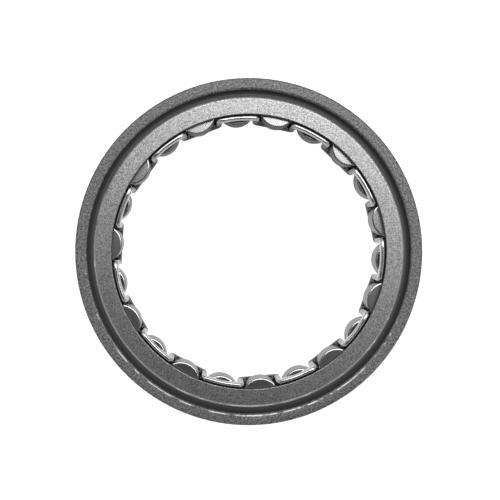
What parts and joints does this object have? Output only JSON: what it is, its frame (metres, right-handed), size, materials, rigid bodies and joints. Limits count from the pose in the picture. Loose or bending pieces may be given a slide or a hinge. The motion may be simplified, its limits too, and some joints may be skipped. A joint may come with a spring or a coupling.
{
  "type": "starter clutch",
  "caption": "Roller one-way starter clutch: ramped steel outer race, cover ring, serpentine spring cage and steel rollers.",
  "frame": {"origin": "centre of the rear face of the outer race, on the clutch axis", "axes": "+Z along the clutch axis towards the cover ring at the front, +X to the right and +Y up as seen from the front"},
  "size_m": [0.091, 0.091, 0.017],
  "materials": {
    "race_steel": "dark grained steel, satin",
    "cover_steel": "blasted steel, satin",
    "cage_steel": "polished spring steel",
    "roller_steel": "ground bearing steel"
  },
  "bodies": {
    "housing": {"outer_race": "race_steel", "front_cover": "cover_steel"},
    "cage": {"cage": "cage_steel"},
    "roller_01": {"roller_01": "roller_steel"},
    "roller_02": {"roller_02": "roller_steel"},
    "roller_03": {"roller_03": "roller_steel"},
    "roller_04": {"roller_04": "roller_steel"},
    "roller_05": {"roller_05": "roller_steel"},
    "roller_06": {"roller_06": "roller_steel"},
    "roller_07": {"roller_07": "roller_steel"},
    "roller_08": {"roller_08": "roller_steel"},
    "roller_09": {"roller_09": "roller_steel"},
    "roller_10": {"roller_10": "roller_steel"},
    "roller_11": {"roller_11": "roller_steel"},
    "roller_12": {"roller_12": "roller_steel"},
    "roller_13": {"roller_13": "roller_steel"},
    "roller_14": {"roller_14": "roller_steel"},
    "roller_15": {"roller_15": "roller_steel"},
    "roller_16": {"roller_16": "roller_steel"},
    "roller_17": {"roller_17": "roller_steel"},
    "roller_18": {"roller_18": "roller_steel"},
    "roller_19": {"roller_19": "roller_steel"},
    "roller_20": {"roller_20": "roller_steel"},
    "roller_21": {"roller_21": "roller_steel"},
    "roller_22": {"roller_22": "roller_steel"}
  },
  "joints": [
    {"name": "cage_shift", "type": "hinge", "parent": "housing", "child": "cage", "pos_m": [0, 0, 0.0085], "axis": [0, 0, 1], "range_deg": [0, 2.5]},
    {"name": "roller_01_spin", "type": "hinge", "parent": "cage", "child": "roller_01", "pos_m": [0.03751, 0.00866, 0.0081], "axis": [0, 0, 1], "continuous": true},
    {"name": "roller_02_spin", "type": "hinge", "parent": "cage", "child": "roller_02", "pos_m": [0.03355, 0.01888, 0.0081], "axis": [0, 0, 1], "continuous": true},
    {"name": "roller_03_spin", "type": "hinge", "parent": "cage", "child": "roller_03", "pos_m": [0.02688, 0.02757, 0.0081], "axis": [0, 0, 1], "continuous": true},
    {"name": "roller_04_spin", "type": "hinge", "parent": "cage", "child": "roller_04", "pos_m": [0.01802, 0.03402, 0.0081], "axis": [0, 0, 1], "continuous": true},
    {"name": "roller_05_spin", "type": "hinge", "parent": "cage", "child": "roller_05", "pos_m": [0.00771, 0.03772, 0.0081], "axis": [0, 0, 1], "continuous": true},
    {"name": "roller_06_spin", "type": "hinge", "parent": "cage", "child": "roller_06", "pos_m": [-0.00323, 0.03836, 0.0081], "axis": [0, 0, 1], "continuous": true},
    {"name": "roller_07_spin", "type": "hinge", "parent": "cage", "child": "roller_07", "pos_m": [-0.01391, 0.0359, 0.0081], "axis": [0, 0, 1], "continuous": true},
    {"name": "roller_08_spin", "type": "hinge", "parent": "cage", "child": "roller_08", "pos_m": [-0.02346, 0.03053, 0.0081], "axis": [0, 0, 1], "continuous": true},
    {"name": "roller_09_spin", "type": "hinge", "parent": "cage", "child": "roller_09", "pos_m": [-0.03111, 0.02268, 0.0081], "axis": [0, 0, 1], "continuous": true},
    {"name": "roller_10_spin", "type": "hinge", "parent": "cage", "child": "roller_10", "pos_m": [-0.03624, 0.013, 0.0081], "axis": [0, 0, 1], "continuous": true},
    {"name": "roller_11_spin", "type": "hinge", "parent": "cage", "child": "roller_11", "pos_m": [-0.03843, 0.00226, 0.0081], "axis": [0, 0, 1], "continuous": true},
    {"name": "roller_12_spin", "type": "hinge", "parent": "cage", "child": "roller_12", "pos_m": [-0.03751, -0.00866, 0.0081], "axis": [0, 0, 1], "continuous": true},
    {"name": "roller_13_spin", "type": "hinge", "parent": "cage", "child": "roller_13", "pos_m": [-0.03355, -0.01888, 0.0081], "axis": [0, 0, 1], "continuous": true},
    {"name": "roller_14_spin", "type": "hinge", "parent": "cage", "child": "roller_14", "pos_m": [-0.02688, -0.02757, 0.0081], "axis": [0, 0, 1], "continuous": true},
    {"name": "roller_15_spin", "type": "hinge", "parent": "cage", "child": "roller_15", "pos_m": [-0.01802, -0.03402, 0.0081], "axis": [0, 0, 1], "continuous": true},
    {"name": "roller_16_spin", "type": "hinge", "parent": "cage", "child": "roller_16", "pos_m": [-0.00771, -0.03772, 0.0081], "axis": [0, 0, 1], "continuous": true},
    {"name": "roller_17_spin", "type": "hinge", "parent": "cage", "child": "roller_17", "pos_m": [0.00323, -0.03836, 0.0081], "axis": [0, 0, 1], "continuous": true},
    {"name": "roller_18_spin", "type": "hinge", "parent": "cage", "child": "roller_18", "pos_m": [0.01391, -0.0359, 0.0081], "axis": [0, 0, 1], "continuous": true},
    {"name": "roller_19_spin", "type": "hinge", "parent": "cage", "child": "roller_19", "pos_m": [0.02346, -0.03053, 0.0081], "axis": [0, 0, 1], "continuous": true},
    {"name": "roller_20_spin", "type": "hinge", "parent": "cage", "child": "roller_20", "pos_m": [0.03111, -0.02268, 0.0081], "axis": [0, 0, 1], "continuous": true},
    {"name": "roller_21_spin", "type": "hinge", "parent": "cage", "child": "roller_21", "pos_m": [0.03624, -0.013, 0.0081], "axis": [0, 0, 1], "continuous": true},
    {"name": "roller_22_spin", "type": "hinge", "parent": "cage", "child": "roller_22", "pos_m": [0.03843, -0.00226, 0.0081], "axis": [0, 0, 1], "continuous": true}
  ],
  "couplings": [
    {"joint": "roller_02_spin", "follows": "roller_01_spin", "ratio": 1},
    {"joint": "roller_03_spin", "follows": "roller_01_spin", "ratio": 1},
    {"joint": "roller_04_spin", "follows": "roller_01_spin", "ratio": 1},
    {"joint": "roller_05_spin", "follows": "roller_01_spin", "ratio": 1},
    {"joint": "roller_06_spin", "follows": "roller_01_spin", "ratio": 1},
    {"joint": "roller_07_spin", "follows": "roller_01_spin", "ratio": 1},
    {"joint": "roller_08_spin", "follows": "roller_01_spin", "ratio": 1},
    {"joint": "roller_09_spin", "follows": "roller_01_spin", "ratio": 1},
    {"joint": "roller_10_spin", "follows": "roller_01_spin", "ratio": 1},
    {"joint": "roller_11_spin", "follows": "roller_01_spin", "ratio": 1},
    {"joint": "roller_12_spin", "follows": "roller_01_spin", "ratio": 1},
    {"joint": "roller_13_spin", "follows": "roller_01_spin", "ratio": 1},
    {"joint": "roller_14_spin", "follows": "roller_01_spin", "ratio": 1},
    {"joint": "roller_15_spin", "follows": "roller_01_spin", "ratio": 1},
    {"joint": "roller_16_spin", "follows": "roller_01_spin", "ratio": 1},
    {"joint": "roller_17_spin", "follows": "roller_01_spin", "ratio": 1},
    {"joint": "roller_18_spin", "follows": "roller_01_spin", "ratio": 1},
    {"joint": "roller_19_spin", "follows": "roller_01_spin", "ratio": 1},
    {"joint": "roller_20_spin", "follows": "roller_01_spin", "ratio": 1},
    {"joint": "roller_21_spin", "follows": "roller_01_spin", "ratio": 1},
    {"joint": "roller_22_spin", "follows": "roller_01_spin", "ratio": 1}
  ]
}
